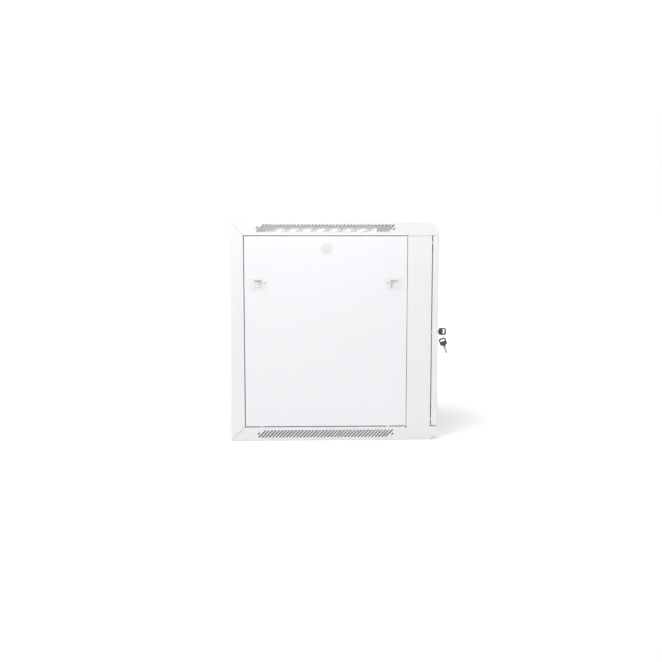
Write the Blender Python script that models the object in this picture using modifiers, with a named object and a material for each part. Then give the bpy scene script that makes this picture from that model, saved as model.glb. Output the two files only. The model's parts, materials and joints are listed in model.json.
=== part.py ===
"""Wall-mounted 19-inch network cabinet, 12 rack units: 600 wide, 600 deep and 635 high.

Metres, +Z up, the door faces -Y. The origin is the centre of the footprint, on the underside.
Left is -X and right is +X, as seen by someone facing the door. Sheet metal parts are modelled
at their bent outer sizes, and each separate piece of the real cabinet is one object.
"""

import math

import bmesh
import bpy
from mathutils import Matrix, Vector

# Case
HALF_WIDTH = 0.300
HALF_DEPTH = 0.300
HEIGHT = 0.635
SHEET = 0.0012
HALF_SHEET = SHEET / 2
GAP = 0.0003
FRONT = -HALF_DEPTH
BACK = HALF_DEPTH
INNER_SIDE = HALF_WIDTH - SHEET
CHAMFER = 0.022
CHAMFER_INSET = SHEET * math.tan(math.radians(22.5))

# Side opening, which the side panel closes
OPENING_BOTTOM = 0.039
OPENING_TOP = 0.5945
OPENING_REAR = 0.2612
PILLAR_FRONT = -0.279
PILLAR_REAR = -0.2095
LIP_X = 0.286
PILLAR_LIP_END = -0.198
REAR_LIP_END = 0.246
OPENING_MARGIN = 0.0015
LEDGE_FRONT_END = -0.280

# Vent slots in the side flanges
SLOT_COUNT = 38
SLOT_PITCH = 0.010
SLOT_LENGTH = 0.0300
SLOT_WIDTH = 0.0036
SHORT_SLOT_LENGTH = 0.0070
VENT_CENTRE_Y = 0.026

# Back plate and covers: cable entries, hanging keyholes, earthing stud
ENTRY_HALF_WIDTH = 0.150
ENTRY_Y = (0.175, 0.255)
ENTRY_Z = (0.470, 0.530)
ENTRY_LAP = 0.010
KEYHOLE_X = 0.225
KEYHOLE_HEIGHTS = (0.070, 0.560)
KEYHOLE_RADIUS = 0.008
KEYHOLE_NECK = 0.004
KEYHOLE_RISE = 0.020
EARTH_STUD_X = 0.243
EARTH_STUD_Z = 0.120

# Side panel
PANEL_SHEET = 0.0010
PANEL_FRONT = -0.2078
PANEL_REAR = 0.2583
PANEL_BOTTOM = 0.042
PANEL_TOP = 0.5923
PANEL_FLANGE = 0.012
TAB_CENTRES = (-0.1545, 0.2120)
TAB_HALF_WIDTH = 0.0045
PLUG_Y = 0.024
PLUG_Z = 0.558
PLUG_RADIUS = 0.0155
LATCH_Z = 0.4565
LATCH_HALF_HEIGHT = 0.0160
CUP_HALF_HEIGHT = 0.0112
LATCH_Y = {"front": -0.172, "rear": 0.220}
LATCH_DIRECTION = {"front": -1, "rear": 1}

# Door
DOOR_HALF_WIDTH = 0.299
DOOR_DEPTH = 0.018
DOOR_BOTTOM = 0.042
DOOR_TOP = 0.5935
DOOR_EDGE_RADIUS = 0.0045
STILE = 0.065
RAIL = 0.038
GLASS = 0.004
HINGE = Vector((0.292, -0.291, 0.0))
PIN_BELOW_TOP = 0.0165
BUMPER_X = -0.294
BUMPER_HEIGHTS = {"bottom": 0.0595, "middle": 0.3175, "top": 0.575}

# Lock and keys
LOCK = Vector((-0.258, FRONT, 0.314))
KEY_BOW_LENGTH = 0.024
KEY_BOW_HEIGHT = 0.0208
KEY_BOW_THICKNESS = 0.0065
KEY_SHOULDER = 0.0050
KEY_BLADE_LENGTH = 0.0240
KEY_OUTER_BAND = 0.0040
KEY_SLOT_WIDTH = 0.0056
KEY_SLOT_HALF = 0.00685
KEY_CUTS = (0.0009, 0.0003, 0.0011, 0.0006, 0.0009)
RING_RADIUS = 0.0092
RING_WIRE = 0.0006
RING_LIFT = 0.0016
RING_TILT = math.radians(2)
SPARE_TILT = math.radians(19)
SPARE_OFFSET = 0.0054

# 19-inch rails, on the standard hole pattern
UNITS = 12
UNIT = 0.04445
FIRST_UNIT = 0.0493
HOLE_LINE = 0.23255
HOLE_SIZE = 0.0095
RAIL_SHEET = 0.0015
RAIL_INNER = 0.225
RAIL_OUTER = 0.2594
RAIL_FLANGE = 0.030
RAIL_Y = {"front": -0.216, "rear": 0.206}
BAR_X = 0.2626
BAR_HEIGHT = 0.025
BAR_Z = {"top": 0.5595, "bottom": 0.0725}

SIDES = {"left": -1, "right": 1}

FINISHES = {
    "powder_coat": ((0.83, 0.84, 0.85), 0.45, 0.0),
    "panel_coat": ((0.86, 0.87, 0.88), 0.42, 0.0),
    "white_plastic": ((0.82, 0.83, 0.82), 0.50, 0.0),
    "galvanised": ((0.62, 0.63, 0.64), 0.40, 1.0),
    "black_rail": ((0.045, 0.045, 0.048), 0.50, 0.0),
    "zinc": ((0.68, 0.68, 0.66), 0.30, 1.0),
    "nickel": ((0.78, 0.77, 0.74), 0.18, 1.0),
    "glass": ((0.35, 0.38, 0.40), 0.05, 0.0),
    "rubber": ((0.03, 0.03, 0.03), 0.80, 0.0),
    "clear_rubber": ((0.80, 0.81, 0.80), 0.50, 0.0),
    "black_plastic": ((0.025, 0.027, 0.030), 0.40, 0.0),
}


# ---------------------------------------------------------------- helpers


def clear_scene():
    for obj in list(bpy.data.objects):
        bpy.data.objects.remove(obj, do_unlink=True)


def collection(name):
    group = bpy.data.collections.new(name)
    bpy.context.scene.collection.children.link(group)
    return group


clear_scene()
PARTS = collection("network_cabinet")
CUTTERS = collection("cutters")


def finish(obj, kind):
    """Give the object a Principled material of its own, in one of the cabinet's finishes."""
    colour, roughness, metallic = FINISHES[kind]
    material = bpy.data.materials.new(f"{obj.name}_{kind}")
    material.use_nodes = True
    shader = material.node_tree.nodes["Principled BSDF"]
    shader.inputs["Base Color"].default_value = (*colour, 1.0)
    shader.inputs["Roughness"].default_value = roughness
    shader.inputs["Metallic"].default_value = metallic
    material.diffuse_color = (*colour, 1.0)
    obj.data.materials.append(material)
    return obj


def add(name, mesh, kind=None):
    """Put a mesh in the parts, or with no finish in the hidden cutters."""
    obj = bpy.data.objects.new(name, mesh)
    if kind:
        PARTS.objects.link(obj)
        return finish(obj, kind)
    CUTTERS.objects.link(obj)
    obj.hide_render = True
    obj.display_type = "WIRE"
    return obj


def block(low, high):
    """A box between two corners, in any order, as a recipe for form()."""
    low, high = Vector(low), Vector(high)
    size = [abs(b - a) for a, b in zip(low, high)]
    return "block", Matrix.Translation((low + high) / 2) @ Matrix.Diagonal((*size, 1.0)), 4


def tilted_block(centre, size, turn):
    """A box of a size about a centre, turned by a matrix, as a recipe for form()."""
    return "block", Matrix.Translation(centre) @ turn @ Matrix.Diagonal((*size, 1.0)), 4


def rod(centre, axis, radius, length, sides=16):
    """A cylinder about a centre, along X, Y or Z, as a recipe for form()."""
    turn = Vector(axis).to_track_quat("Z", "Y").to_matrix().to_4x4()
    return "rod", Matrix.Translation(centre) @ turn @ Matrix.Diagonal((radius, radius, length, 1.0)), sides


def form(name, shapes, kind=None):
    """One object from boxes and cylinders. Several shapes in one are for cutters."""
    mesh = bpy.data.meshes.new(name)
    work = bmesh.new()
    for shape, matrix, sides in shapes:
        if shape == "block":
            bmesh.ops.create_cube(work, size=1.0, matrix=matrix)
        else:
            bmesh.ops.create_cone(work, cap_ends=True, segments=sides, radius1=1.0, radius2=1.0,
                                  depth=1.0, matrix=matrix)
    work.to_mesh(mesh)
    work.free()
    return add(name, mesh, kind)


PLANES = {
    "XY": Matrix(((1, 0, 0), (0, 1, 0), (0, 0, 1))),
    "YZ": Matrix(((0, 0, 1), (1, 0, 0), (0, 1, 0))),
    "XZ": Matrix(((1, 0, 0), (0, 0, -1), (0, 1, 0))),
}


def prism(name, outline, plane, start, end, kind=None):
    """A flat outline in a plane, given thickness from start to end along the third axis."""
    curve = bpy.data.curves.new(name, "CURVE")
    curve.dimensions = "2D"
    curve.fill_mode = "BOTH"
    curve.extrude = abs(end - start) / 2
    line = curve.splines.new("POLY")
    line.points.add(len(outline) - 1)
    for point, (u, v) in zip(line.points, outline):
        point.co = (u, v, 0.0, 1.0)
    line.use_cyclic_u = True
    guide = bpy.data.objects.new(name + "_outline", curve)
    bpy.context.scene.collection.objects.link(guide)
    third = {"XY": (0, 0, 1), "YZ": (1, 0, 0), "XZ": (0, 1, 0)}[plane]
    offset = Vector(third) * (start + end) / 2
    guide.matrix_world = Matrix.Translation(offset) @ PLANES[plane].to_4x4()
    bpy.context.view_layer.update()
    mesh = bpy.data.meshes.new_from_object(guide.evaluated_get(bpy.context.evaluated_depsgraph_get()))
    work = bmesh.new()
    work.from_mesh(mesh)
    bmesh.ops.remove_doubles(work, verts=work.verts, dist=1e-6)
    bmesh.ops.recalc_face_normals(work, faces=work.faces)
    work.to_mesh(mesh)
    work.free()
    obj = add(name, mesh, kind)
    obj.matrix_world = guide.matrix_world
    bpy.data.objects.remove(guide, do_unlink=True)
    return obj


def folded(name, path, start, end, sheet, kind=None):
    """Bent sheet: a path in XY, along the middle of the sheet, drawn up from start to end in Z."""
    mesh = bpy.data.meshes.new(name)
    work = bmesh.new()
    points = [work.verts.new((x, y, start)) for x, y in path]
    edges = [work.edges.new(pair) for pair in zip(points, points[1:])]
    drawn = bmesh.ops.extrude_edge_only(work, edges=edges)["geom"]
    corners = [item for item in drawn if isinstance(item, bmesh.types.BMVert)]
    bmesh.ops.translate(work, verts=corners, vec=(0.0, 0.0, end - start))
    bmesh.ops.recalc_face_normals(work, faces=work.faces)
    work.to_mesh(mesh)
    work.free()
    obj = add(name, mesh, kind)
    shell = obj.modifiers.new("sheet", "SOLIDIFY")
    shell.thickness = sheet
    shell.offset = 0.0
    shell.use_even_offset = True
    return obj


def turned(name, profile, place, axis, kind=None, steps=24, ring=False):
    """A turned piece: (radius, height) points from its top down the outside, height along the axis."""
    mesh = bpy.data.meshes.new(name)
    work = bmesh.new()
    points = [work.verts.new((radius, 0.0, height)) for radius, height in profile]
    for pair in zip(points, points[1:]):
        work.edges.new(pair)
    if ring:
        work.edges.new((points[-1], points[0]))
    work.to_mesh(mesh)
    work.free()
    obj = add(name, mesh, kind)
    screw = obj.modifiers.new("turn", "SCREW")
    screw.steps = steps
    screw.render_steps = steps
    screw.use_merge_vertices = True
    screw.merge_threshold = 0.00001
    screw.use_smooth_shade = True
    obj.location = place
    obj.rotation_euler = Vector(axis).to_track_quat("Z", "Y").to_euler()
    return obj


def cut(obj, *tools):
    boolean(obj, "DIFFERENCE", tools)


def join(obj, *tools):
    boolean(obj, "UNION", tools)


def boolean(obj, operation, tools):
    for tool in tools:
        change = obj.modifiers.new(tool.name, "BOOLEAN")
        change.operation = operation
        change.object = tool
        change.solver = "EXACT"


def arc(centre, radius, first, last, steps=4):
    """Points round part of a circle, angles in degrees."""
    points = []
    for step in range(steps + 1):
        angle = math.radians(first + (last - first) * step / steps)
        points.append((centre[0] + radius * math.cos(angle), centre[1] + radius * math.sin(angle)))
    return points


def rounded(u0, u1, v0, v1, radius, steps=3):
    """A rectangle with round corners, anticlockwise from its right lower corner."""
    points = arc((u1 - radius, v0 + radius), radius, -90, 0, steps)
    points += arc((u1 - radius, v1 - radius), radius, 0, 90, steps)
    points += arc((u0 + radius, v1 - radius), radius, 90, 180, steps)
    points += arc((u0 + radius, v0 + radius), radius, 180, 270, steps)
    return points


def pivot(name, place, parent=None):
    """An empty on a joint's axis, which carries the pieces that move about it."""
    empty = bpy.data.objects.new(name, None)
    PARTS.objects.link(empty)
    empty.location = place
    empty.empty_display_size = 0.02
    bpy.context.view_layer.update()
    if parent:
        attach(parent, empty)
    return empty


def attach(empty, *pieces):
    bpy.context.view_layer.update()
    for piece in pieces:
        piece.parent = empty
        piece.matrix_parent_inverse = empty.matrix_world.inverted()


# ---------------------------------------------------------------- case


def slot_row(name, flange_centre):
    """Cutter for one row of slanted vent slots, through the flanges of both sides."""
    slant = Matrix.Rotation(math.radians(135), 4, "X")
    width = 2.1 * HALF_WIDTH
    first = VENT_CENTRE_Y + SLOT_PITCH * (SLOT_COUNT - 1) / 2
    shapes = []
    for number in range(SLOT_COUNT):
        place = (0.0, first - number * SLOT_PITCH, flange_centre)
        shapes.append(tilted_block(place, (width, SLOT_LENGTH, SLOT_WIDTH), slant))
    for number, rise in ((-1, 0.001), (SLOT_COUNT, -0.002)):
        place = (0.0, first - number * SLOT_PITCH, flange_centre + rise)
        shapes.append(tilted_block(place, (width, SHORT_SLOT_LENGTH, SLOT_WIDTH), slant))
    return form(name, shapes)


def cover(name, outside, edge):
    """A five-sided tray that closes the top or the bottom, with ledges round the side openings."""
    up = 1 if outside > edge else -1
    rear = BACK - SHEET - GAP
    outline = [(FRONT, edge), (FRONT, outside - up * CHAMFER), (FRONT + CHAMFER, outside),
               (rear, outside), (rear, edge)]
    tray = prism(name, outline, "YZ", -HALF_WIDTH, HALF_WIDTH, "powder_coat")
    beyond = BACK + 0.01
    below = edge - up * 0.01
    turn_in = CHAMFER + CHAMFER_INSET
    hollow = [(FRONT + SHEET, below), (FRONT + SHEET, outside - up * turn_in),
              (FRONT + turn_in, outside - up * SHEET), (beyond, outside - up * SHEET), (beyond, below)]
    cut(tray, prism(name + "_hollow", hollow, "YZ", -INNER_SIDE, INNER_SIDE))
    slope = (outside - edge) / (BACK - OPENING_REAR)
    mitre = [(OPENING_REAR - 0.001, edge - slope * 0.001), (BACK, outside), (BACK, below),
             (OPENING_REAR - 0.001, below)]
    cut(tray, prism(name + "_mitre", mitre, "YZ", -HALF_WIDTH - 0.01, HALF_WIDTH + 0.01))
    cut(tray, slot_row(name + "_vents", (outside + edge) / 2))

    inside_wall = HALF_WIDTH - HALF_SHEET
    ledge_top = edge + up * SHEET
    ledge_rear = OPENING_REAR - OPENING_MARGIN
    join(tray, form(name + "_front_ledge", [block((-inside_wall, FRONT + HALF_SHEET, edge),
                                                  (inside_wall, LEDGE_FRONT_END, ledge_top))]))
    for side, s in SIDES.items():
        join(tray, form(f"{name}_ledge_{side}", [block((s * (LIP_X + 0.0005), PILLAR_LIP_END + 0.0005, edge),
                                                       (s * inside_wall, ledge_rear, ledge_top))]))
    cut(tray, form(name + "_pin_hole", [rod((HINGE.x, HINGE.y, edge), (0, 0, 1), 0.0031, 0.01)]))
    cut(tray, form(name + "_cable_entry", [block((-ENTRY_HALF_WIDTH, ENTRY_Y[0], outside - 0.005),
                                                 (ENTRY_HALF_WIDTH, ENTRY_Y[1], outside + 0.005))]))
    return tray


def bottom_details(tray):
    """Slots in the side ledges for the side panels' tabs, and the relief notches at the front bend."""
    slots = []
    for s in SIDES.values():
        for y in TAB_CENTRES:
            slots.append(block((s * 0.290, y - 0.0055, 0.035), (s * INNER_SIDE, y + 0.0055, 0.045)))
    cut(tray, form("tab_slots", slots))
    notch = block((-0.31, -0.2110, 0.0345), (0.31, -0.2064, 0.0450))
    cut(tray, form("relief_notches", [notch]))


def back_panel():
    """The rear plate, its mitred side strips, and the bent jambs of the side openings."""
    plate = form("back_panel", [block((-HALF_WIDTH, BACK - SHEET, 0.0), (HALF_WIDTH, BACK, HEIGHT))],
                 "powder_coat")
    into_plate = BACK - HALF_SHEET
    reach = (into_plate - OPENING_REAR) / (BACK - OPENING_REAR)
    top_rise = (HEIGHT - OPENING_TOP) * reach
    bottom_drop = OPENING_BOTTOM * reach
    margin = 0.0006
    jamb_bottom = OPENING_BOTTOM + OPENING_MARGIN
    jamb_top = OPENING_TOP - OPENING_MARGIN
    strip = [(OPENING_REAR, OPENING_BOTTOM + margin), (into_plate, OPENING_BOTTOM - bottom_drop + margin),
             (into_plate, OPENING_TOP + top_rise - margin), (OPENING_REAR, OPENING_TOP - margin)]
    for side, s in SIDES.items():
        join(plate, prism(f"back_strip_{side}", strip, "YZ", s * INNER_SIDE, s * HALF_WIDTH))
        jamb = OPENING_REAR + HALF_SHEET
        lip = LIP_X - HALF_SHEET
        path = [(s * (HALF_WIDTH - HALF_SHEET), jamb), (s * lip, jamb), (s * lip, REAR_LIP_END)]
        join(plate, folded(f"back_jamb_{side}", path, jamb_bottom, jamb_top, SHEET))
    holes = []
    slots = []
    for s in SIDES.values():
        for z in KEYHOLE_HEIGHTS:
            x = s * KEYHOLE_X
            holes.append(rod((x, BACK, z), (0, 1, 0), KEYHOLE_RADIUS, 0.01))
            slots.append(block((x - KEYHOLE_NECK, BACK - 0.01, z),
                               (x + KEYHOLE_NECK, BACK + 0.01, z + KEYHOLE_RISE)))
    cut(plate, form("hanging_holes", holes), form("hanging_slots", slots))
    cut(plate, form("rear_cable_entry", [block((-ENTRY_HALF_WIDTH, BACK - 0.01, ENTRY_Z[0]),
                                               (ENTRY_HALF_WIDTH, BACK + 0.01, ENTRY_Z[1]))]))


def front_pillar(side, s):
    """A bent post: its front return frames the door, its rear fold frames the side panel."""
    face = INNER_SIDE - GAP - HALF_SHEET
    front = PILLAR_FRONT + HALF_SHEET
    rear = PILLAR_REAR - HALF_SHEET
    lip = LIP_X - HALF_SHEET
    path = [(s * 0.277, front), (s * face, front), (s * face, rear), (s * lip, rear)]
    path.append((s * lip, PILLAR_LIP_END))
    folded(f"front_pillar_{side}", path, 0.0034, HEIGHT - 0.0034, SHEET, "powder_coat")


def depth_bar(level, side, s):
    """A flat bar from pillar to back, with end tabs and the long slot that the rail bolts slide in."""
    front = PILLAR_FRONT + SHEET + GAP + HALF_SHEET
    rear = BACK - SHEET - GAP - HALF_SHEET
    z = BAR_Z[level]
    path = [(s * 0.288, front), (s * BAR_X, front), (s * BAR_X, rear), (s * 0.284, rear)]
    half = BAR_HEIGHT / 2
    bar = folded(f"depth_bar_{level}_{side}", path, z - half, z + half, SHEET, "galvanised")
    slot = block((s * 0.255, -0.240, z - 0.004), (s * 0.270, 0.250, z + 0.004))
    cut(bar, form(f"bar_slot_{level}_{side}", [slot]))


def cable_cover(name, low, high):
    """A blank plate that closes a cable entry from inside, and comes off to let cables through."""
    form(name, [block(low, high)], "powder_coat")


def case():
    cover("top_cover", HEIGHT, OPENING_TOP)
    bottom_details(cover("bottom_cover", 0.0, OPENING_BOTTOM))
    back_panel()
    for side, s in SIDES.items():
        front_pillar(side, s)
        for level in BAR_Z:
            depth_bar(level, side, s)
    inner = SHEET + GAP
    half = ENTRY_HALF_WIDTH + ENTRY_LAP
    near, far = ENTRY_Y[0] - ENTRY_LAP, ENTRY_Y[1] + ENTRY_LAP
    cable_cover("top_cable_cover", (-half, near, HEIGHT - inner - SHEET), (half, far, HEIGHT - inner))
    cable_cover("bottom_cable_cover", (-half, near, inner), (half, far, inner + SHEET))
    cable_cover("rear_cable_cover", (-half, BACK - inner - SHEET, ENTRY_Z[0] - ENTRY_LAP),
                (half, BACK - inner, ENTRY_Z[1] + ENTRY_LAP))
    stud = [(0.0, 0.015), (0.0025, 0.015), (0.003, 0.0145), (0.003, 0.006), (0.0062, 0.006), (0.0062, 0.0),
            (0.0, 0.0)]
    turned("earth_stud", stud, (EARTH_STUD_X, BACK - inner, EARTH_STUD_Z), (0, -1, 0), "zinc", steps=12)
    for level, z in BUMPER_HEIGHTS.items():
        pad = [(0.0, 0.0023), (0.0028, 0.0023), (0.0035, 0.0014), (0.0035, 0.0), (0.0, 0.0)]
        place = (BUMPER_X, PILLAR_FRONT - GAP, z)
        turned(f"door_bumper_{level}", pad, place, (0, -1, 0), "clear_rubber", steps=12)
    pin = [(0.0, 0.0110), (0.0020, 0.0110), (0.0026, 0.0104), (0.0026, 0.0024), (0.0055, 0.0024),
           (0.0055, GAP), (0.0026, GAP), (0.0026, -0.006), (0.0, -0.006)]
    turned("hinge_pin_bottom", pin, (HINGE.x, HINGE.y, OPENING_BOTTOM), (0, 0, 1), "zinc", steps=16)


# ---------------------------------------------------------------- door, lock and keys


def door_outline(inset, rear):
    """Plan outline of the door: square at the back, round along both front edges."""
    side = DOOR_HALF_WIDTH - inset
    radius = DOOR_EDGE_RADIUS - inset
    corner = side - radius
    front = FRONT + inset + radius
    points = [(-side, rear)]
    points += arc((-corner, front), radius, 180, 270)
    points += arc((corner, front), radius, 270, 360)
    points.append((side, rear))
    return points


def door_frame():
    """The steel tray of the door, with its glass window, back lips, and holes for lock and pins."""
    rear = FRONT + DOOR_DEPTH
    frame = prism("door_frame", door_outline(0.0, rear), "XY", DOOR_BOTTOM, DOOR_TOP, "powder_coat")
    inside = door_outline(SHEET, rear - SHEET)
    cut(frame, prism("door_hollow", inside, "XY", DOOR_BOTTOM + SHEET, DOOR_TOP - SHEET))
    lip = PANEL_FLANGE
    cut(frame, form("door_back_opening", [block((-DOOR_HALF_WIDTH + lip, rear - 0.003, DOOR_BOTTOM + lip),
                                                (DOOR_HALF_WIDTH - lip, rear + 0.003, DOOR_TOP - lip))]))
    half = DOOR_HALF_WIDTH - STILE
    window = rounded(-half, half, DOOR_BOTTOM + RAIL, DOOR_TOP - RAIL, 0.006)
    cut(frame, prism("door_window", window, "XZ", FRONT - 0.002, FRONT + 0.002))
    cut(frame, form("lock_hole", [rod(LOCK, (0, 1, 0), 0.0093, 0.006, 24)]))
    pins = [rod((HINGE.x, HINGE.y, DOOR_BOTTOM), (0, 0, 1), 0.0032, 0.006),
            rod((HINGE.x, HINGE.y, DOOR_TOP), (0, 0, 1), 0.0032, 0.006)]
    cut(frame, form("door_pin_holes", pins))
    return frame


def door_glazing():
    """The pane, the gasket between pane and frame, and the four clips that hold it from behind."""
    half = DOOR_HALF_WIDTH - STILE + 0.009
    low = DOOR_BOTTOM + RAIL - 0.009
    high = DOOR_TOP - RAIL + 0.009
    seat = FRONT + SHEET + GAP
    ring = rounded(-half, half, low, high, 0.004)
    gasket = prism("door_gasket", ring, "XZ", seat, seat + 0.0012, "rubber")
    opening = rounded(-half + 0.008, half - 0.008, low + 0.008, high - 0.008, 0.006)
    cut(gasket, prism("gasket_opening", opening, "XZ", seat - 0.002, seat + 0.004))
    face = seat + 0.0012 + GAP
    pane = prism("door_glass", ring, "XZ", face, face + GLASS, "glass")
    pieces = [gasket, pane]
    behind = face + GLASS + GAP + 0.0005
    for side, s in SIDES.items():
        for level, z in (("top", 0.480), ("bottom", 0.150)):
            near = seat + 0.0005
            path = [(s * 0.260, near), (s * 0.2475, near), (s * 0.2475, behind), (s * 0.236, behind)]
            clip = folded(f"glass_clip_{level}_{side}", path, z - 0.012, z + 0.012, 0.0010, "galvanised")
            pieces.append(clip)
    return pieces


def lock_case():
    """The lock's threaded body with its bezel, and the nut behind the door skin."""
    body = [(0.0059, 0.0026), (0.0110, 0.0026), (0.0120, 0.0017), (0.0120, GAP), (0.0090, GAP),
            (0.0090, -0.0190), (0.0059, -0.0190)]
    shell = turned("lock_body", body, LOCK, (0, -1, 0), "nickel", ring=True)
    middle = LOCK + Vector((0, 0.0033, 0))
    nut = form("lock_nut", [rod(middle, (0, 1, 0), 0.0130, 0.0034, 6)], "zinc")
    cut(nut, form("lock_nut_bore", [rod(middle, (0, 1, 0), 0.0094, 0.02, 24)]))
    return [shell, nut]


def lock_core():
    """The cylinder that the key turns, the cam on its tail, and the screw that holds the cam."""
    body = [(0.0, 0.0029), (0.0055, 0.0029), (0.0055, -0.0260), (0.0034, -0.0260), (0.0034, -0.0297),
            (0.0, -0.0297)]
    cylinder = turned("lock_cylinder", body, LOCK, (0, -1, 0), "nickel", steps=20)
    keyway = block(LOCK + Vector((-0.0014, -0.01, -0.0041)), LOCK + Vector((0.0014, 0.0217, 0.0041)))
    cut(cylinder, form("keyway", [keyway]))
    cut(cylinder, form("cam_screw_hole", [rod(LOCK + Vector((0, 0.0300, 0)), (0, 1, 0), 0.0018, 0.013, 12)]))
    plate = [(LOCK.x + u, LOCK.z + v) for u, v in rounded(-0.007, 0.007, -0.027, 0.007, 0.005)]
    cam = prism("lock_cam", plate, "XZ", FRONT + 0.0263, FRONT + 0.0283, "zinc")
    cut(cam, form("cam_hole", [rod(LOCK + Vector((0, 0.027, 0)), (0, 1, 0), 0.0037, 0.01)]))
    head = [(0.0, 0.0065), (0.0015, 0.0065), (0.0015, 0.0), (0.0048, 0.0), (0.0040, -0.0024), (0.0, -0.0024)]
    screw = turned("cam_screw", head, LOCK + Vector((0, 0.0300, 0)), (0, -1, 0), "zinc", steps=12)
    return [cylinder, cam, screw]


def blade_outline():
    """Outline of a key blade: a tang for the bow, then cuts along both edges to a pointed tip."""
    tang, half, pitch, cut_half = 0.0029, 0.0035, 0.0030, 0.0009
    edge = [(-0.0060, tang), (0.0004, tang), (0.0004, half)]
    for number, depth in enumerate(KEY_CUTS):
        middle = 0.0065 + pitch * number
        flat = depth / 3
        edge += [(middle - cut_half, half), (middle - flat, half - depth)]
        edge += [(middle + flat, half - depth), (middle + cut_half, half)]
    edge += [(KEY_BLADE_LENGTH - 0.0030, half), (KEY_BLADE_LENGTH - 0.0006, 0.0016)]
    edge.append((KEY_BLADE_LENGTH, 0.0006))
    return edge + [(u, -v) for u, v in reversed(edge)]


def key(prefix, place, turn):
    """A key with a steel blade along its own +Y and a plastic bow along -Y from its shoulder."""
    half = KEY_BOW_HEIGHT / 2
    tip = -KEY_BOW_LENGTH
    corner = 0.0050
    waist = -0.0130
    upper = [(0.0, 0.0046), (-0.0028, 0.0050), (-0.0046, half - 0.0004), (-0.0054, half)]
    upper += [(waist + 0.0016, half), (waist, half - 0.0005), (waist - 0.0016, half)]
    upper += arc((tip + corner, half - corner), corner, 90, 180, 4)
    outline = upper + [(u, -v) for u, v in reversed(upper)]
    thick = KEY_BOW_THICKNESS / 2
    bow = prism(prefix + "_bow", outline, "YZ", -thick, thick, "black_plastic")
    band = tip + KEY_OUTER_BAND
    slot = rounded(band, band + KEY_SLOT_WIDTH, -KEY_SLOT_HALF, KEY_SLOT_HALF, 0.0012, 2)
    window = prism(prefix + "_ring_slot", slot, "YZ", -0.01, 0.01)
    socket = form(prefix + "_socket", [block((-0.0014, -0.0065, -0.0033), (0.0014, 0.0100, 0.0033))])
    cut(bow, window, socket)
    blade = prism(prefix + "_blade", blade_outline(), "YZ", -0.0010, 0.0010, "nickel")
    for piece in (bow, window, socket, blade):
        piece.matrix_world = Matrix.Translation(place) @ turn @ piece.matrix_world
    return [bow, blade]


def keys():
    """The key in the lock, the wire ring through its bow, and the spare key hanging from the ring."""
    shoulder = LOCK - Vector((0, KEY_SHOULDER, 0))
    inside_band = KEY_BOW_LENGTH - KEY_OUTER_BAND - RING_LIFT
    hang = shoulder + Vector((0, -inside_band, RING_LIFT - KEY_SLOT_HALF))
    first = key("key", shoulder, Matrix.Identity(4))
    wire = [(RING_RADIUS + dr, dz) for dr, dz in arc((0, 0), RING_WIRE, 90, -225, 7)]
    down = Vector((0, -math.sin(RING_TILT), -math.cos(RING_TILT)))
    axis = Vector((0, -math.cos(RING_TILT), math.sin(RING_TILT)))
    ring = turned("key_ring", wire, hang + down * RING_RADIUS, axis, "nickel", steps=28, ring=True)
    low = hang + down * 2 * RING_RADIUS
    turn = Matrix.Rotation(-math.pi / 2 - SPARE_TILT, 4, "X")
    hold = Vector((0, -inside_band, -SPARE_OFFSET))
    spare = key("spare_key", low - (turn @ hold), turn)
    return first, ring, hang, spare, low


def door():
    hinge = pivot("door_hinge", (HINGE.x, HINGE.y, (DOOR_BOTTOM + DOOR_TOP) / 2))
    attach(hinge, door_frame(), *door_glazing(), *lock_case())
    barrel = pivot("lock_axis", LOCK, hinge)
    attach(barrel, *lock_core())
    first, ring, hang, spare, low = keys()
    key_slide = pivot("key_slide", LOCK, barrel)
    attach(key_slide, *first)
    ring_axis = pivot("key_ring_axis", hang, key_slide)
    attach(ring_axis, ring)
    attach(pivot("spare_key_axis", low, ring_axis), *spare)
    pin = [(0.0, 0.0250), (0.0020, 0.0250), (0.0026, 0.0244), (0.0026, 0.0060), (0.0055, 0.0060),
           (0.0055, 0.0035), (0.0026, 0.0035), (0.0026, 0.0), (0.0, 0.0)]
    place = (HINGE.x, HINGE.y, DOOR_TOP - PIN_BELOW_TOP)
    upper_pin = turned("hinge_pin_top", pin, place, (0, 0, 1), "zinc", steps=16)
    attach(pivot("hinge_pin_slide", place, hinge), upper_pin)


# ---------------------------------------------------------------- side panels


def latch_housing(name, s, along, y):
    """The plastic case of a slide latch: bezel, finger window, and a slot for the slider's plate."""

    def spot(u, depth, v):
        return (s * (HALF_WIDTH - depth), y + along * u, LATCH_Z + v)

    bezel = rounded(y - 0.026, y + 0.026, LATCH_Z - LATCH_HALF_HEIGHT, LATCH_Z + LATCH_HALF_HEIGHT, 0.003)
    front = s * (HALF_WIDTH + 0.0014)
    housing = prism(name, bezel, "YZ", front, s * (HALF_WIDTH + GAP), "white_plastic")
    high = CUP_HALF_HEIGHT
    case = block(spot(-0.0230, -0.0008, -0.0145), spot(0.0230, 0.0090, 0.0145))
    window = block(spot(-0.0124, -0.01, -high), spot(0.0110, 0.02, high))
    ramp_space = block(spot(0.0100, 0.0011, -high), spot(0.0184, 0.02, high))
    plate_slot = block(spot(0.0170, 0.0011, -high), spot(0.0300, 0.0029, high))
    mark_slot = block(spot(-0.0235, -0.01, 0.0012), spot(-0.0145, -0.0002, 0.0026))
    join(housing, form(name + "_case", [case]))
    cut(housing, form(name + "_window", [window]))
    cut(housing, form(name + "_ramp_space", [ramp_space]))
    cut(housing, form(name + "_plate_slot", [plate_slot]))
    cut(housing, form(name + "_mark_slot", [mark_slot]))
    return housing


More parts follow.
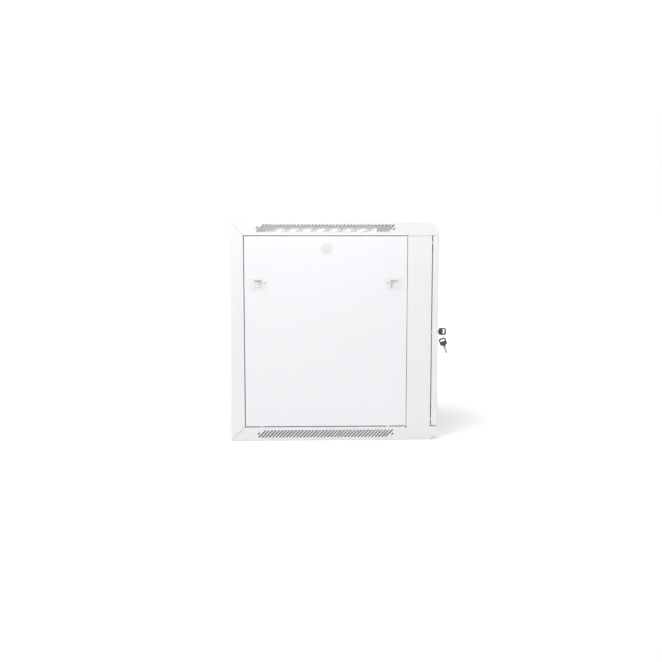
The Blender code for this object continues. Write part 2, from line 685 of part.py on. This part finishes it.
def latch_slider(name, s, along, y):
    """The sliding finger cup: steep wall and ramp, cover plate, and the leg that carries the tongue."""
    profile = [(-0.0120, 0.0), (-0.0104, 0.0), (-0.0104, 0.0065), (-0.0050, 0.0065), (0.0110, 0.0015),
               (0.0225, 0.0015), (0.0225, 0.0025), (0.0130, 0.0025), (0.0090, 0.0045), (0.0090, 0.0165),
               (0.0240, 0.0165), (0.0240, 0.0185), (0.0065, 0.0185), (0.0065, 0.0052), (-0.0030, 0.0080),
               (-0.0120, 0.0080)]
    outline = [(s * (HALF_WIDTH - depth), y + along * u) for u, depth in profile]
    half = CUP_HALF_HEIGHT - 0.0004
    return prism(name, outline, "XY", LATCH_Z - half, LATCH_Z + half, "white_plastic")


def lock_plug(name, s):
    """A round plastic plug in the panel's lock hole, cut flat along the bottom."""
    cap = [(0.0, 0.0016), (PLUG_RADIUS - 0.0014, 0.0016), (PLUG_RADIUS, 0.0004 + GAP), (PLUG_RADIUS, GAP),
           (0.0132, GAP), (0.0132, -0.0060), (0.0, -0.0060)]
    plug = turned(name, cap, (s * HALF_WIDTH, PLUG_Y, PLUG_Z), (s, 0, 0), "white_plastic", steps=32)
    bottom = PLUG_Z - PLUG_RADIUS
    cut(plug, form(name + "_flat", [block((s * 0.29, PLUG_Y - 0.02, bottom - 0.01),
                                          (s * 0.31, PLUG_Y + 0.02, bottom + 0.0028))]))
    return plug


def side_panel(side, s):
    """A shallow steel tray with two hook tabs below, a lock plug and two slide latches."""
    outer = s * HALF_WIDTH
    inner = s * (HALF_WIDTH - PANEL_FLANGE)
    tray = block((outer, PANEL_FRONT, PANEL_BOTTOM), (inner, PANEL_REAR, PANEL_TOP))
    panel = form(f"side_panel_{side}", [tray], "panel_coat")
    t = PANEL_SHEET
    cut(panel, form(f"panel_hollow_{side}", [block((s * (HALF_WIDTH - t), PANEL_FRONT + t, PANEL_BOTTOM + t),
                                                   (inner - s * 0.01, PANEL_REAR - t, PANEL_TOP - t))]))
    for number, y in enumerate(TAB_CENTRES):
        tab = block((s * 0.2983, y - TAB_HALF_WIDTH, 0.028),
                    (s * 0.2971, y + TAB_HALF_WIDTH, PANEL_BOTTOM + t / 2))
        join(panel, form(f"panel_tab_{side}_{number}", [tab]))
    cut(panel, form(f"plug_hole_{side}", [rod((outer, PLUG_Y, PLUG_Z), (1, 0, 0), 0.0137, 0.006, 24)]))
    middle = (PANEL_FRONT + PANEL_REAR) / 2
    hinge = pivot(f"side_panel_{side}_hinge", (s * INNER_SIDE, middle, OPENING_BOTTOM))
    attach(hinge, panel, lock_plug(f"lock_plug_{side}", s))
    for end, y in LATCH_Y.items():
        along = LATCH_DIRECTION[end]
        hole = block((s * 0.295, y - 0.0233, LATCH_Z - 0.0148), (s * 0.305, y + 0.0233, LATCH_Z + 0.0148))
        cut(panel, form(f"latch_hole_{side}_{end}", [hole]))
        attach(hinge, latch_housing(f"latch_housing_{side}_{end}", s, along, y))
        slide = pivot(f"latch_slide_{side}_{end}", (outer, y, LATCH_Z), hinge)
        attach(slide, latch_slider(f"latch_slider_{side}_{end}", s, along, y))


# ---------------------------------------------------------------- 19-inch rails


def rail_holes(name, s, y):
    """Cutter for the three square holes of each rack unit."""
    half = HOLE_SIZE / 2
    shapes = []
    for unit in range(UNITS):
        middle = FIRST_UNIT + UNIT * (unit + 0.5)
        for rise in (-0.015875, 0.0, 0.015875):
            z = middle + rise
            x = s * HOLE_LINE
            shapes.append(block((x - half, y - 0.005, z - half), (x + half, y + 0.005, z + half)))
    return form(name, shapes)


def rail(end, side, s):
    """An angle rail with square holes, clamped to the depth bars by a bolt at each end."""
    y = RAIL_Y[end]
    inward = 1 if end == "front" else -1
    path = [(s * RAIL_INNER, y), (s * RAIL_OUTER, y), (s * RAIL_OUTER, y + inward * RAIL_FLANGE)]
    bottom = FIRST_UNIT - 0.004
    top = FIRST_UNIT + UNITS * UNIT + 0.004
    name = f"rail_{end}_{side}"
    angle = folded(name, path, bottom, top, RAIL_SHEET, "black_rail")
    cut(angle, rail_holes(name + "_holes", s, y))
    bolt_y = y + inward * 0.016
    holes = [rod((s * RAIL_OUTER, bolt_y, z), (1, 0, 0), 0.0034, 0.006, 12) for z in BAR_Z.values()]
    cut(angle, form(name + "_bolt_holes", holes))
    slide = pivot(name + "_slide", (s * RAIL_OUTER, bolt_y, (bottom + top) / 2))
    attach(slide, angle)
    bolt = [(0.0, 0.0064), (0.0045, 0.0064), (0.0064, 0.0046), (0.0064, 0.0035), (0.0030, 0.0035),
            (0.0030, -0.0017), (0.0058, -0.0017), (0.0058, -0.0065), (0.0030, -0.0065), (0.0030, -0.0090),
            (0.0, -0.0090)]
    for level, z in BAR_Z.items():
        place = (s * 0.260, bolt_y, z)
        attach(slide, turned(f"rail_bolt_{end}_{side}_{level}", bolt, place, (s, 0, 0), "zinc", steps=12))


def main():
    case()
    door()
    for side, s in SIDES.items():
        side_panel(side, s)
        for end in RAIL_Y:
            rail(end, side, s)


main()
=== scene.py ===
"""Looks of the wall-mounted network cabinet: finishes, small fittings, studio light and camera.

Metres, +Z up, the door faces -Y. The camera stands square to the cabinet's left side (-X).
"""

import json
import math

import bmesh
import bpy
from mathutils import Matrix, Vector


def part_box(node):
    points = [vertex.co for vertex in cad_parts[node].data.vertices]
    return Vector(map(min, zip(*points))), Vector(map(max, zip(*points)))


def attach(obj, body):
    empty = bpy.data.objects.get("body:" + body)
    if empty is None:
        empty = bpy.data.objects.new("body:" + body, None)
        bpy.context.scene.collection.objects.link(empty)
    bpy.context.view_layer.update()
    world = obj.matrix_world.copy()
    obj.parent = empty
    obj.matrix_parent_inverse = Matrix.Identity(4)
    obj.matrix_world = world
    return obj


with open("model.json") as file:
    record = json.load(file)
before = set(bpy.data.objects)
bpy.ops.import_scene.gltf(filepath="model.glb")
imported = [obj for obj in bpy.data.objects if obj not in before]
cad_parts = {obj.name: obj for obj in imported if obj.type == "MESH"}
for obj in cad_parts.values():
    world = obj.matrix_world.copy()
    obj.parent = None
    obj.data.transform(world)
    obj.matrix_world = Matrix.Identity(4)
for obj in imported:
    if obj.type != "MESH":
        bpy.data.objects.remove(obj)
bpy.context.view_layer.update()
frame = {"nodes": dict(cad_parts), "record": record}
NODES = frame["nodes"]
SIDES = {"left": -1, "right": 1}
ENDS = {"front": -1, "rear": 1}

HALF_WIDTH = 0.300
FOLD_RADIUS = 0.0011
# Edge radius that bending, moulding or paint leaves, by material slot.
EDGE_RADII = {"powder_coat": 0.00045, "panel_coat": 0.00040, "white_plastic": 0.00035, "galvanised": 0.0002,
              "black_rail": 0.0003, "zinc": 0.0002, "glass": 0.0006, "rubber": 0.0002}
# Which end of its own height is each cover's outer plate: 0 the lower, 1 the upper.
COVERS = {"top_cover": 1, "bottom_cover": 0}
ROUND_PARTS = {"hinge_pin_bottom", "hinge_pin_top", "earth_stud", "lock_body", "lock_cylinder", "cam_screw",
               "key_ring", "door_bumper_top", "door_bumper_middle", "door_bumper_bottom"}
ROUND_PARTS |= {name for name in NODES if name.startswith("rail_bolt")}

CABLE_COVERS = {"top_cable_cover": (0, 0, 1), "bottom_cable_cover": (0, 0, -1), "rear_cable_cover": (0, 1, 0)}
COVER_SCREW_INSET = 0.018
COVER_SCREW_RADIUS = 0.0027

# Size and place of the black bar in each latch bezel's engraved slot: painted shade for the shadow in the
# groove, not a printed mark.
SHADE_BAR_HALF_LENGTH = 0.0043
SHADE_BAR_HALF_HEIGHT = 0.0006
SHADE_BAR_FROM_MIDDLE = 0.0190
SHADE_BAR_RISE = 0.0019
SHADE_BAR_BACK = HALF_WIDTH + 0.0003
SHADE_BAR_FACE = HALF_WIDTH + 0.0009
SHADE_BAR_EDGE_RADIUS = 0.00012

LENS = 44.021
CAMERA_PITCH = math.radians(6.1)
CAMERA_YAW = math.radians(1.7)
CAMERA_DISTANCE = 2.32
CAMERA_TARGET = Vector((-HALF_WIDTH, 0.0108, 0.3208))

# The paper: its half width, its near edge, where it starts to bend up, the bend's radius and its height.
PAPER_SPAN = 26.0
PAPER_NEAR = -26.0
PAPER_BEND = 3.2
PAPER_RADIUS = 1.6
PAPER_RISE = 5.0
PAPER_DROP = 0.0002
PAPER_STEPS = 12
AIR_STRENGTH = 0.33
# Name, place, target, (width, height) and watts of each area light.
LIGHTS = (
    ("overhead", (-0.8, 0.3, 3.2), (0.0, 0.0, 0.3), (4.0, 4.0), 82.0),
    ("key_high", (-1.3, 0.5, 1.7), (-0.3, 0.0, 0.60), (0.5, 0.5), 6.0),
    ("key_middle", (-1.0, -0.05, 1.40), (-0.3, 0.0, 0.55), (0.6, 0.6), 2.6),
    ("key_low", (-0.80, 0.15, 1.20), (-0.3, 0.0, 0.50), (0.5, 0.5), 0.8),
    ("front_floor", (0.3, -2.2, 2.4), (0.1, -0.7, 0.0), (1.5, 1.5), 11.0),
    ("backdrop_wash", (2.2, 0.0, 3.6), (4.6, 0.0, 0.8), (6.0, 1.5), 160.0),
)


# ---------------------------------------------------------------- materials


class Finish:
    """A node material around one Principled shader, in object coordinates, which here are metres."""

    def __init__(self, name, colour, roughness, metallic=0.0):
        self.material = bpy.data.materials.new(name)
        self.material.use_nodes = True
        self.tree = self.material.node_tree
        self.shader = self.tree.nodes["Principled BSDF"]
        self.shader.inputs["Base Color"].default_value = (*colour, 1.0)
        self.shader.inputs["Roughness"].default_value = roughness
        self.shader.inputs["Metallic"].default_value = metallic
        self.material.diffuse_color = (*colour, 1.0)
        self.place = self.tree.nodes.new("ShaderNodeTexCoord").outputs["Object"]

    def node(self, kind, **inputs):
        node = self.tree.nodes.new(kind)
        for name, value in inputs.items():
            self.wire(value, node.inputs[name.replace("_", " ")])
        return node

    def wire(self, value, socket):
        if isinstance(value, bpy.types.NodeSocket):
            self.tree.links.new(value, socket)
        else:
            socket.default_value = value

    def noise(self, scale, detail=2.0, stretch=(1.0, 1.0, 1.0)):
        place = self.node("ShaderNodeMapping", Vector=self.place, Scale=stretch).outputs["Vector"]
        return self.node("ShaderNodeTexNoise", Vector=place, Scale=scale, Detail=detail).outputs["Fac"]

    def spread(self, value, low, high, out_low, out_high):
        """A value between low and high, spread over another range."""
        node = self.node("ShaderNodeMapRange", Value=value)
        ends = {"From Min": low, "From Max": high, "To Min": out_low, "To Max": out_high}
        for name, number in ends.items():
            node.inputs[name].default_value = number
        return node.outputs["Result"]

    def tint(self, factor, other):
        """The base colour goes towards another colour by a factor."""
        mix = self.node("ShaderNodeMix")
        mix.data_type = "RGBA"
        self.wire(factor, mix.inputs["Factor"])
        source = self.shader.inputs["Base Color"]
        mix.inputs[6].default_value = tuple(source.default_value)
        mix.inputs[7].default_value = (*other, 1.0)
        self.tree.links.new(mix.outputs[2], source)

    def bump(self, height, strength, distance):
        node = self.node("ShaderNodeBump", Height=height, Strength=strength, Distance=distance)
        earlier = self.shader.inputs["Normal"]
        if earlier.is_linked:
            self.tree.links.new(earlier.links[0].from_socket, node.inputs["Normal"])
        self.tree.links.new(node.outputs["Normal"], earlier)

    def vary_roughness(self, value, low, high):
        self.tree.links.new(self.spread(value, 0.35, 0.65, low, high), self.shader.inputs["Roughness"])


def scaled(colour, factor):
    return tuple(channel * factor for channel in colour)


def powder_coat(name, colour, roughness):
    """Baked powder paint: fine orange peel over a slower ripple, with faint handling marks."""
    paint = Finish(name, colour, roughness)
    paint.shader.inputs["Coat Weight"].default_value = 0.12
    paint.shader.inputs["Coat Roughness"].default_value = 0.30
    paint.bump(paint.noise(420.0, 1.0), 0.10, 0.0004)
    paint.bump(paint.noise(1500.0, 2.0), 0.16, 0.00008)
    paint.vary_roughness(paint.noise(9.0, 4.0), roughness - 0.05, roughness + 0.06)
    paint.tint(paint.spread(paint.noise(4.0, 3.0), 0.35, 0.75, 0.0, 0.35), scaled(colour, 0.975))
    return paint.material


def moulded(name, colour, roughness, grain=0.08):
    """Injection-moulded plastic with a fine spark-eroded grain."""
    plastic = Finish(name, colour, roughness)
    plastic.bump(plastic.noise(2600.0, 3.0), grain, 0.00006)
    plastic.vary_roughness(plastic.noise(40.0, 3.0), roughness - 0.05, roughness + 0.05)
    plastic.tint(plastic.spread(plastic.noise(25.0), 0.3, 0.7, 0.0, 0.5), scaled(colour, 0.96))
    return plastic.material


def zinc_plate(name):
    """Bright zinc: slightly cloudy, with fine rolling marks."""
    roughness = 0.28
    metal = Finish(name, (0.72, 0.72, 0.70), roughness, 1.0)
    metal.bump(metal.noise(700.0, 3.0), 0.08, 0.00005)
    metal.vary_roughness(metal.noise(120.0, 4.0), roughness - 0.06, roughness + 0.10)
    metal.tint(metal.spread(metal.noise(90.0, 4.0), 0.4, 0.7, 0.0, 0.6), (0.60, 0.58, 0.50))
    return metal.material


def galvanised(name):
    """Hot-dip spangle: large pale crystals with different gloss."""
    metal = Finish(name, (0.60, 0.62, 0.63), 0.42, 1.0)
    crystals = metal.node("ShaderNodeTexVoronoi", Vector=metal.place, Scale=130.0).outputs["Color"]
    grey = metal.node("ShaderNodeRGBToBW", Color=crystals).outputs["Val"]
    metal.tint(metal.spread(grey, 0.2, 0.8, 0.0, 0.7), (0.44, 0.46, 0.48))
    metal.tree.links.new(metal.spread(grey, 0.2, 0.8, 0.34, 0.52), metal.shader.inputs["Roughness"])
    metal.bump(metal.noise(300.0, 3.0), 0.06, 0.00005)
    return metal.material


def nickel(name):
    """Nickel plate with hairline handling scratches."""
    metal = Finish(name, (0.60, 0.59, 0.585), 0.22, 1.0)
    scratches = metal.noise(500.0, 4.0, (1.0, 8.0, 0.3))
    metal.bump(scratches, 0.05, 0.00004)
    metal.vary_roughness(metal.noise(200.0, 3.0), 0.17, 0.30)
    return metal.material


def smoked_glass(name):
    """Smoked toughened glass, a little uneven in its gloss."""
    pane = Finish(name, (0.030, 0.036, 0.040), 0.03)
    pane.shader.inputs["Alpha"].default_value = 0.62
    pane.shader.inputs["IOR"].default_value = 1.52
    pane.shader.inputs["Coat Weight"].default_value = 0.6
    pane.shader.inputs["Coat Roughness"].default_value = 0.02
    pane.bump(pane.noise(3.0, 1.0), 0.02, 0.0004)
    smears = pane.spread(pane.noise(14.0, 5.0), 0.4, 0.8, 0.02, 0.05)
    pane.tree.links.new(smears, pane.shader.inputs["Roughness"])
    return pane.material


def rubber(name, colour, roughness):
    soft = Finish(name, colour, roughness)
    soft.bump(soft.noise(1800.0, 4.0), 0.20, 0.00010)
    soft.vary_roughness(soft.noise(60.0), roughness - 0.08, roughness + 0.06)
    soft.tint(soft.spread(soft.noise(80.0), 0.4, 0.7, 0.0, 0.4), scaled(colour, 1.25))
    return soft.material


def make_materials():
    """One finish for each material slot, and one more for the lock-hole plugs."""
    return {
        "powder_coat": powder_coat("white_powder_coat", (0.835, 0.845, 0.860), 0.46),
        "panel_coat": powder_coat("white_panel_coat", (0.855, 0.865, 0.885), 0.43),
        "white_plastic": moulded("white_moulded_plastic", (0.825, 0.832, 0.838), 0.40),
        "plug_plastic": moulded("grey_white_plug_plastic", (0.770, 0.772, 0.772), 0.46),
        "galvanised": galvanised("galvanised_steel"),
        "black_rail": powder_coat("black_powder_coat", (0.032, 0.032, 0.035), 0.50),
        "zinc": zinc_plate("bright_zinc"),
        "nickel": nickel("polished_nickel"),
        "glass": smoked_glass("smoked_glass"),
        "rubber": rubber("black_gasket_rubber", (0.022, 0.022, 0.023), 0.75),
        "clear_rubber": rubber("clear_bumper_rubber", (0.90, 0.91, 0.91), 0.30),
        "black_plastic": moulded("black_key_plastic", (0.076, 0.078, 0.085), 0.38, 0.14),
    }


# ---------------------------------------------------------------- mesh helpers


def soften(obj, width, segments=2):
    """Give the sharp edges of a part a small radius. Returns the Bevel modifier."""
    weld = obj.modifiers.new("weld", "WELD")
    weld.merge_threshold = 0.000005
    flat = obj.modifiers.new("flat", "DECIMATE")
    flat.decimate_type = "DISSOLVE"
    flat.angle_limit = math.radians(0.6)
    bevel = obj.modifiers.new("edge", "BEVEL")
    bevel.width = width
    bevel.segments = segments
    bevel.limit_method = "ANGLE"
    bevel.angle_limit = math.radians(28.0)
    bevel.use_clamp_overlap = True
    return bevel


def soften_fold(cover, outside):
    """Round a cover's outer fold, all round its flat plate, and leave its slotted flanges alone."""
    tolerance = 0.00005
    fold = cover.vertex_groups.new(name="fold")
    plate = [v.index for v in cover.data.vertices if abs(v.co.z - outside) < tolerance]
    fold.add(plate, 1.0, "REPLACE")
    bevel = soften(cover, FOLD_RADIUS, segments=3)
    bevel.limit_method = "VGROUP"
    bevel.vertex_group = "fold"


def shade_round(obj, limit=35.0):
    obj.data.shade_smooth()
    obj.data.set_sharp_from_angle(angle=math.radians(limit))


def new_object(name, work, material):
    """A finished bmesh as a piece with its material."""
    mesh = bpy.data.meshes.new(name)
    work.to_mesh(mesh)
    work.free()
    obj = bpy.data.objects.new(name, mesh)
    bpy.context.scene.collection.objects.link(obj)
    obj.data.materials.append(material)
    return obj


def lathe(work, profile, steps):
    """Turn a (radius, height) profile, from top to bottom, round Z and close its ends."""
    rings = []
    for radius, height in profile:
        ring = []
        for step in range(steps):
            angle = 2 * math.pi * step / steps
            ring.append(work.verts.new((radius * math.cos(angle), radius * math.sin(angle), height)))
        rings.append(ring)
    for upper, lower in zip(rings, rings[1:]):
        for step in range(steps):
            after = (step + 1) % steps
            work.faces.new((upper[step], lower[step], lower[after], upper[after]))
    work.faces.new(rings[0])
    work.faces.new(list(reversed(rings[-1])))


def aim(place, axis):
    """A frame with +Z along an outward axis, at a place."""
    return Matrix.Translation(Vector(place)) @ Vector(axis).to_track_quat("Z", "Y").to_matrix().to_4x4()


def cross_recess(obj, depth, reach, width):
    """Cut a cross drive into the head of a screw whose top lies at its own origin, facing +Z."""
    work = bmesh.new()
    for turn in (0.0, math.pi / 2):
        size = Matrix.Diagonal((2 * reach, width, 2 * depth, 1.0))
        bmesh.ops.create_cube(work, size=1.0, matrix=Matrix.Rotation(turn, 4, "Z") @ size)
    mesh = bpy.data.meshes.new(obj.name + "_drive")
    work.to_mesh(mesh)
    work.free()
    cutter = bpy.data.objects.new(obj.name + "_drive", mesh)
    bpy.context.scene.collection.objects.link(cutter)
    cut = obj.modifiers.new("drive", "BOOLEAN")
    cut.operation = "DIFFERENCE"
    cut.object = cutter
    cut.solver = "EXACT"
    cut.use_self = True
    bpy.context.view_layer.update()
    mesh = bpy.data.meshes.new_from_object(obj.evaluated_get(bpy.context.evaluated_depsgraph_get()))
    obj.modifiers.clear()
    obj.data = mesh
    bpy.data.objects.remove(cutter, do_unlink=True)


def pan_screw(name, place, axis, body, materials, radius):
    """A pan-head screw with a cross recess, seated on a face with its head outwards."""
    height = radius * 0.52
    shank = radius * 0.45
    dome = []
    for angle in (math.radians(degrees) for degrees in (80, 62, 44, 26, 8)):
        dome.append((radius * math.cos(angle), height * (0.25 + 0.75 * math.sin(angle))))
    work = bmesh.new()
    lathe(work, dome + [(radius, 0.0), (shank, -0.0002), (shank, -0.0010)], 24)
    obj = new_object(name, work, materials["zinc"])
    top = Matrix.Translation((0, 0, height))
    obj.data.transform(top.inverted())
    cross_recess(obj, depth=height * 0.55, reach=radius * 0.52, width=radius * 0.20)
    obj.data.transform(top)
    obj.data.transform(aim(place, axis))
    shade_round(obj, 40.0)
    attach(obj, body)


# ---------------------------------------------------------------- the cabinet's own parts


def dress_frame(materials):
    """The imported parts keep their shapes: each gets its finish and softened edges."""
    for part in frame["record"]["subparts"]:
        name = part["node"]
        slot = part["material_slot"]
        obj = NODES[name]
        finish = "plug_plastic" if name.startswith("lock_plug") else slot
        obj.data.materials.clear()
        obj.data.materials.append(materials[finish])
        if name in ROUND_PARTS:
            shade_round(obj)
        elif name in COVERS:
            soften_fold(obj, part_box(name)[COVERS[name]][2])
        elif slot in EDGE_RADII:
            soften(obj, EDGE_RADII[slot])


# ---------------------------------------------------------------- small fittings


def cover_screws(materials):
    """Two pan screws hold each cable entry's cover, in the recess over the sheet."""
    for node, axis in CABLE_COVERS.items():
        low, high = (Vector(corner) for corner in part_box(node))
        outward = Vector(axis)
        face = (low + high) / 2
        face += outward * abs(outward.dot(high - low)) / 2
        for side, s in SIDES.items():
            place = Vector((s * (high.x - COVER_SCREW_INSET), face.y, face.z))
            pan_screw(f"{node}_screw_{side}", place, axis, "cabinet", materials, COVER_SCREW_RADIUS)


def shade_bar_outline():
    """A bar with round ends, as (along, up) from its middle."""
    steps = 6
    outline = []
    for cap in (1, -1):
        middle = cap * (SHADE_BAR_HALF_LENGTH - SHADE_BAR_HALF_HEIGHT)
        for step in range(steps + 1):
            angle = math.radians(180 * step / steps - 90 * cap)
            up = SHADE_BAR_HALF_HEIGHT * math.sin(angle)
            outline.append((middle + SHADE_BAR_HALF_HEIGHT * math.cos(angle), up))
    return outline


def latch_shade_bars(materials):
    """A black bar let into the engraved slot at the inner end of each latch's bezel: painted shade that
    stands in for the shadow inside that groove.
    """
    for side, s in SIDES.items():
        for end, along in ENDS.items():
            low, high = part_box(f"latch_housing_{side}_{end}")
            y = (low[1] + high[1]) / 2 - along * SHADE_BAR_FROM_MIDDLE
            z = (low[2] + high[2]) / 2 + SHADE_BAR_RISE
            work = bmesh.new()
            back, face = ([work.verts.new((s * x, y + u, z + v)) for u, v in shade_bar_outline()]
                          for x in (SHADE_BAR_BACK, SHADE_BAR_FACE))
            for step in range(len(back)):
                after = (step + 1) % len(back)
                work.faces.new((back[step], back[after], face[after], face[step]))
            work.faces.new(back)
            work.faces.new(face)
            bmesh.ops.recalc_face_normals(work, faces=work.faces)
            # Black plastic here is painted shade filling the groove, not a coloured insert.
            shade_bar = new_object(f"latch_mark_{side}_{end}", work, materials["black_plastic"])
            soften(shade_bar, SHADE_BAR_EDGE_RADIUS)
            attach(shade_bar, f"panel_{side}")


# ---------------------------------------------------------------- stage, light and camera


def stage():
    """A pale seamless floor that curves up into a backdrop beyond the cabinet."""
    profile = [(PAPER_NEAR, 0.0), (0.0, 0.0), (PAPER_BEND, 0.0)]
    for step in range(1, PAPER_STEPS + 1):
        angle = math.radians(90.0 * step / PAPER_STEPS)
        profile.append((PAPER_BEND + PAPER_RADIUS * math.sin(angle), PAPER_RADIUS * (1 - math.cos(angle))))
    profile.append((PAPER_BEND + PAPER_RADIUS, PAPER_RISE))
    work = bmesh.new()
    rows = [[work.verts.new((x, y, z - PAPER_DROP)) for y in (-PAPER_SPAN, PAPER_SPAN)] for x, z in profile]
    for first, second in zip(rows, rows[1:]):
        work.faces.new((first[0], second[0], second[1], first[1]))
    mesh = bpy.data.meshes.new("studio_sweep")
    work.to_mesh(mesh)
    work.free()
    sweep = bpy.data.objects.new("studio_sweep", mesh)
    bpy.context.scene.collection.objects.link(sweep)
    sweep.data.shade_smooth()
    paper = Finish("studio_paper", (0.93, 0.93, 0.93), 0.85)
    paper.tint(paper.spread(paper.noise(0.8), 0.3, 0.7, 0.0, 0.5), (0.94, 0.94, 0.935))
    sweep.data.materials.append(paper.material)


def lights():
    """Soft studio light, mostly from above and from behind the camera's left, and an even white air."""
    for name, place, target, size, power in LIGHTS:
        lamp = bpy.data.lights.new(name, "AREA")
        lamp.shape = "RECTANGLE"
        lamp.size, lamp.size_y = size
        lamp.energy = power
        obj = bpy.data.objects.new(name, lamp)
        bpy.context.scene.collection.objects.link(obj)
        obj.location = place
        obj.rotation_euler = (Vector(target) - Vector(place)).to_track_quat("-Z", "Y").to_euler()
    world = bpy.data.worlds.new("studio_air")
    world.use_nodes = True
    air = world.node_tree.nodes["Background"]
    air.inputs["Color"].default_value = (1.0, 1.0, 1.0, 1.0)
    air.inputs["Strength"].default_value = AIR_STRENGTH
    bpy.context.scene.world = world
    bpy.context.scene.view_settings.view_transform = "Standard"


def camera():
    """Almost square-on to the left side, a little from behind and above, pitched down six degrees."""
    lens = bpy.data.cameras.new("camera")
    lens.sensor_width = 36.0
    lens.lens = LENS
    lens.clip_start = 0.05
    eye = bpy.data.objects.new("camera", lens)
    bpy.context.scene.collection.objects.link(eye)
    level = math.cos(CAMERA_PITCH)
    look = Vector((level * math.cos(CAMERA_YAW), -level * math.sin(CAMERA_YAW), -math.sin(CAMERA_PITCH)))
    eye.location = CAMERA_TARGET - look * CAMERA_DISTANCE / level
    eye.rotation_euler = look.to_track_quat("-Z", "Y").to_euler()
    bpy.context.scene.camera = eye


MATERIALS = make_materials()
dress_frame(MATERIALS)
cover_screws(MATERIALS)
latch_shade_bars(MATERIALS)
stage()
lights()
camera()
